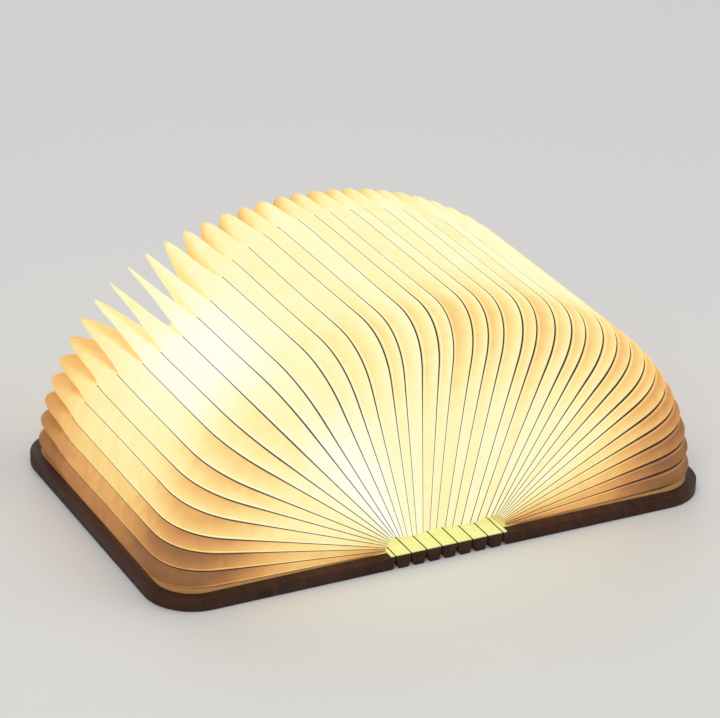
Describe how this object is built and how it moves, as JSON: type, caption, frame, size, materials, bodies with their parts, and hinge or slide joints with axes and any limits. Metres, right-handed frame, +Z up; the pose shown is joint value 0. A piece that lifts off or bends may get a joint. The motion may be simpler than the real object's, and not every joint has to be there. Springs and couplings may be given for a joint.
{
  "type": "folding book lamp",
  "caption": "Folding book lamp: two wooden covers on a rolling slat spine carry a fan of paper pleats, lit from inside by a light bar on the middle slat.",
  "frame": {"origin": "middle of the open lamp's footprint, on the table face of the covers", "axes": "+X across the open covers to the right one, +Y along the spine to the head end, +Z up out of the fan"},
  "size_m": [0.1938, 0.122, 0.0813],
  "materials": {
    "walnut": "satin dark walnut",
    "end_paper": "matt cream paper",
    "pleat_paper": "matt translucent non-woven paper",
    "lining_paper": "matt cream non-woven paper",
    "white_plastic": "satin",
    "opal_plastic": "opal",
    "board_white": "satin",
    "led": "clear over yellow",
    "battery_wrap": "shrink wrap",
    "switch_glass": "clear",
    "socket_steel": "plated",
    "magnet": "nickel plated"
  },
  "bodies": {
    "spine_centre": {"slat_4": "walnut", "spine_lining": "lining_paper", "bar_trough": "white_plastic", "diffuser": "opal_plastic", "circuit_board": "board_white", "leds": "led", "battery": "battery_wrap", "reed_switch": "switch_glass", "port_post": "white_plastic", "charging_socket": "socket_steel", "pleat_17": "pleat_paper", "pleat_18": "pleat_paper", "pleat_19": "pleat_paper", "pleat_20": "pleat_paper", "pleat_21": "pleat_paper", "pleat_22": "pleat_paper"},
    "slat_3": {"slat_3": "walnut", "pleat_12": "pleat_paper", "pleat_13": "pleat_paper", "pleat_14": "pleat_paper", "pleat_15": "pleat_paper", "pleat_16": "pleat_paper"},
    "slat_2": {"slat_2": "walnut", "pleat_07": "pleat_paper", "pleat_08": "pleat_paper", "pleat_09": "pleat_paper", "pleat_10": "pleat_paper", "pleat_11": "pleat_paper"},
    "slat_1": {"slat_1": "walnut", "pleat_03": "pleat_paper", "pleat_04": "pleat_paper", "pleat_05": "pleat_paper", "pleat_06": "pleat_paper"},
    "cover_left": {"cover_left": "walnut", "end_paper_left": "end_paper", "magnets_left": "magnet", "pleat_01": "pleat_paper", "pleat_02": "pleat_paper"},
    "slat_5": {"slat_5": "walnut", "pleat_23": "pleat_paper", "pleat_24": "pleat_paper", "pleat_25": "pleat_paper", "pleat_26": "pleat_paper", "pleat_27": "pleat_paper"},
    "slat_6": {"slat_6": "walnut", "pleat_28": "pleat_paper", "pleat_29": "pleat_paper", "pleat_30": "pleat_paper", "pleat_31": "pleat_paper", "pleat_32": "pleat_paper"},
    "slat_7": {"slat_7": "walnut", "pleat_33": "pleat_paper", "pleat_34": "pleat_paper", "pleat_35": "pleat_paper", "pleat_36": "pleat_paper"},
    "cover_right": {"cover_right": "walnut", "end_paper_right": "end_paper", "magnets_right": "magnet", "pleat_37": "pleat_paper", "pleat_38": "pleat_paper"}
  },
  "joints": [
    {"name": "left_hinge_1", "type": "hinge", "parent": "spine_centre", "child": "slat_3", "pos_m": [-0.0027, 0, 0.0042], "axis": [0, 1, 0], "range_deg": [-24, 22.5], "deforming": ["pleat_14", "pleat_15", "pleat_16", "pleat_17", "pleat_18", "pleat_19", "spine_lining"]},
    {"name": "left_hinge_2", "type": "hinge", "parent": "slat_3", "child": "slat_2", "pos_m": [-0.0081, 0, 0.0042], "axis": [0, 1, 0], "range_deg": [-24, 22.5], "deforming": ["pleat_10", "pleat_11", "pleat_12", "pleat_13"]},
    {"name": "left_hinge_3", "type": "hinge", "parent": "slat_2", "child": "slat_1", "pos_m": [-0.0135, 0, 0.0042], "axis": [0, 1, 0], "range_deg": [-24, 22.5], "deforming": ["pleat_05", "pleat_06", "pleat_07", "pleat_08", "pleat_09"]},
    {"name": "left_cover_hinge", "type": "hinge", "parent": "slat_1", "child": "cover_left", "pos_m": [-0.0189, 0, 0.0042], "axis": [0, 1, 0], "range_deg": [-24, 22.5], "deforming": ["pleat_01", "pleat_02", "pleat_03", "pleat_04"]},
    {"name": "right_hinge_1", "type": "hinge", "parent": "spine_centre", "child": "slat_5", "pos_m": [0.0027, 0, 0.0042], "axis": [0, -1, 0], "range_deg": [-24, 22.5], "deforming": ["pleat_20", "pleat_21", "pleat_22", "pleat_23", "pleat_24"]},
    {"name": "right_hinge_2", "type": "hinge", "parent": "slat_5", "child": "slat_6", "pos_m": [0.0081, 0, 0.0042], "axis": [0, -1, 0], "range_deg": [-24, 22.5], "deforming": ["pleat_25", "pleat_26", "pleat_27", "pleat_28", "pleat_29"]},
    {"name": "right_hinge_3", "type": "hinge", "parent": "slat_6", "child": "slat_7", "pos_m": [0.0135, 0, 0.0042], "axis": [0, -1, 0], "range_deg": [-24, 22.5], "deforming": ["pleat_30", "pleat_31", "pleat_32", "pleat_33", "pleat_34"]},
    {"name": "right_cover_hinge", "type": "hinge", "parent": "slat_7", "child": "cover_right", "pos_m": [0.0189, 0, 0.0042], "axis": [0, -1, 0], "range_deg": [-24, 22.5], "deforming": ["pleat_35", "pleat_36", "pleat_37", "pleat_38"]}
  ],
  "couplings": [
    {"joint": "left_hinge_1", "follows": "left_cover_hinge", "ratio": 1},
    {"joint": "left_hinge_2", "follows": "left_cover_hinge", "ratio": 1},
    {"joint": "left_hinge_3", "follows": "left_cover_hinge", "ratio": 1},
    {"joint": "right_hinge_1", "follows": "right_cover_hinge", "ratio": 1},
    {"joint": "right_hinge_2", "follows": "right_cover_hinge", "ratio": 1},
    {"joint": "right_hinge_3", "follows": "right_cover_hinge", "ratio": 1}
  ]
}
